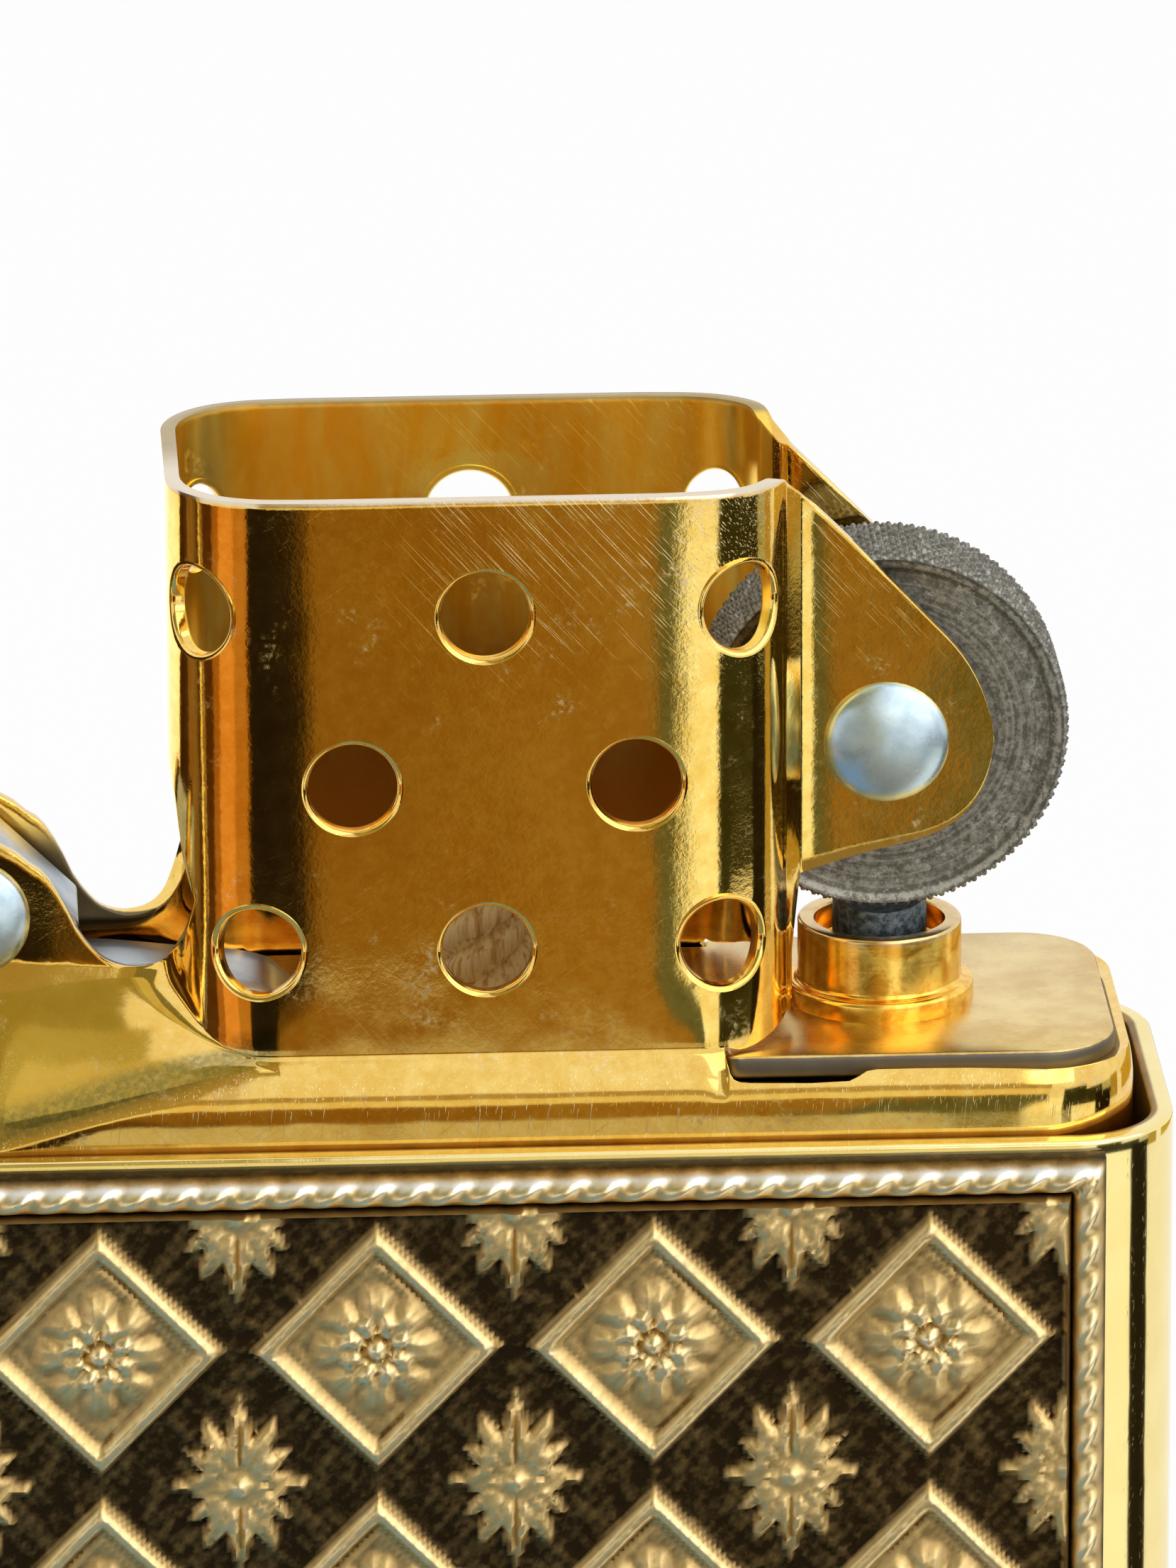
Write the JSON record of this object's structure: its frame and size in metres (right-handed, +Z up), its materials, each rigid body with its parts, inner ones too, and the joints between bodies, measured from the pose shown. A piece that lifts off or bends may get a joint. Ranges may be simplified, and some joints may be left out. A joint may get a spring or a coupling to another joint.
{
  "type": "windproof lighter",
  "caption": "Open windproof pocket lighter: relief-fronted case with hinged lid, vented chimney insert, striker wheel, cam, flint tube and wick.",
  "frame": {"origin": "centre of the case's flat base", "axes": "+Z up along the case, +X towards the striker wheel, -Y towards the relief plate's face"},
  "size_m": [0.0745, 0.0143, 0.0702],
  "materials": {
    "case_gold": "polished gold plate with fine hairlines",
    "insert_gold": "bright gold plate, scuffed and scratched",
    "antique_bronze": "cast relief, dark in the recesses and rubbed bright on the highs",
    "rivet_steel": "bright steel with small dents",
    "bright_steel": "satin steel sheet",
    "wheel_steel": "dark hardened steel, cross-knurled and speckled",
    "flint_grey": "dull grey flint metal",
    "plain_brass": "turned brass",
    "wick_cotton": "twisted cotton, charred at the tip",
    "wadding_white": "loose fibre wadding",
    "felt": "pressed wool felt"
  },
  "bodies": {
    "lighter": {"case_bottom": "case_gold", "hinge_leaf_case": "insert_gold", "hinge_pin": "rivet_steel", "case_relief_plate": "antique_bronze", "insert_shell": "insert_gold", "insert_deck": "insert_gold", "flint_tube": "insert_gold", "wheel_rivet": "rivet_steel", "cam_rivet": "rivet_steel", "cam_spring": "bright_steel", "cam_spring_rivet": "rivet_steel", "wick": "wick_cotton", "wadding": "wadding_white", "felt_pad": "felt"},
    "lid": {"case_lid": "case_gold", "hinge_leaf_lid": "insert_gold", "lid_relief_plate": "antique_bronze", "lid_stop": "bright_steel"},
    "cam_body": {"cam": "bright_steel"},
    "wheel_body": {"striker_wheel": "wheel_steel"},
    "flint_body": {"flint": "flint_grey", "flint_pusher": "plain_brass"},
    "spring_body": {"flint_spring": "bright_steel"},
    "screw_body": {"flint_screw": "plain_brass"}
  },
  "joints": [
    {"name": "lid_hinge", "type": "hinge", "parent": "lighter", "child": "lid", "pos_m": [-0.0193, 0, 0.03707], "axis": [0, 1, 0], "range_deg": [0, 120]},
    {"name": "cam_pivot", "type": "hinge", "parent": "lighter", "child": "cam_body", "pos_m": [-0.0152, 0, 0.043], "axis": [0, 1, 0], "range_deg": [-24.5, 0], "deforming": ["cam_spring"]},
    {"name": "wheel_spin", "type": "hinge", "parent": "lighter", "child": "wheel_body", "pos_m": [0.01085, 0, 0.04775], "axis": [0, 1, 0], "continuous": true},
    {"name": "flint_feed", "type": "slide", "parent": "lighter", "child": "flint_body", "axis": [0, 0, -1], "range_m": [0, 0.002], "stiffness_N_per_m": 6, "springref_m": -0.003, "deforming": ["flint_spring"]},
    {"name": "flint_screw_travel", "type": "slide", "parent": "lighter", "child": "spring_body", "axis": [0, 0, -1], "range_m": [0, 0.001], "deforming": ["flint_spring"]},
    {"name": "flint_screw_turn", "type": "hinge", "parent": "spring_body", "child": "screw_body", "pos_m": [0.01085, 0, 0.0025], "axis": [0, 0, -1], "range_deg": [0, 720.5]}
  ],
  "couplings": [
    {"joint": "cam_pivot", "follows": "lid_hinge", "ratio": -0.2},
    {"joint": "flint_screw_turn", "follows": "flint_screw_travel", "rad_per_m": 12566}
  ]
}
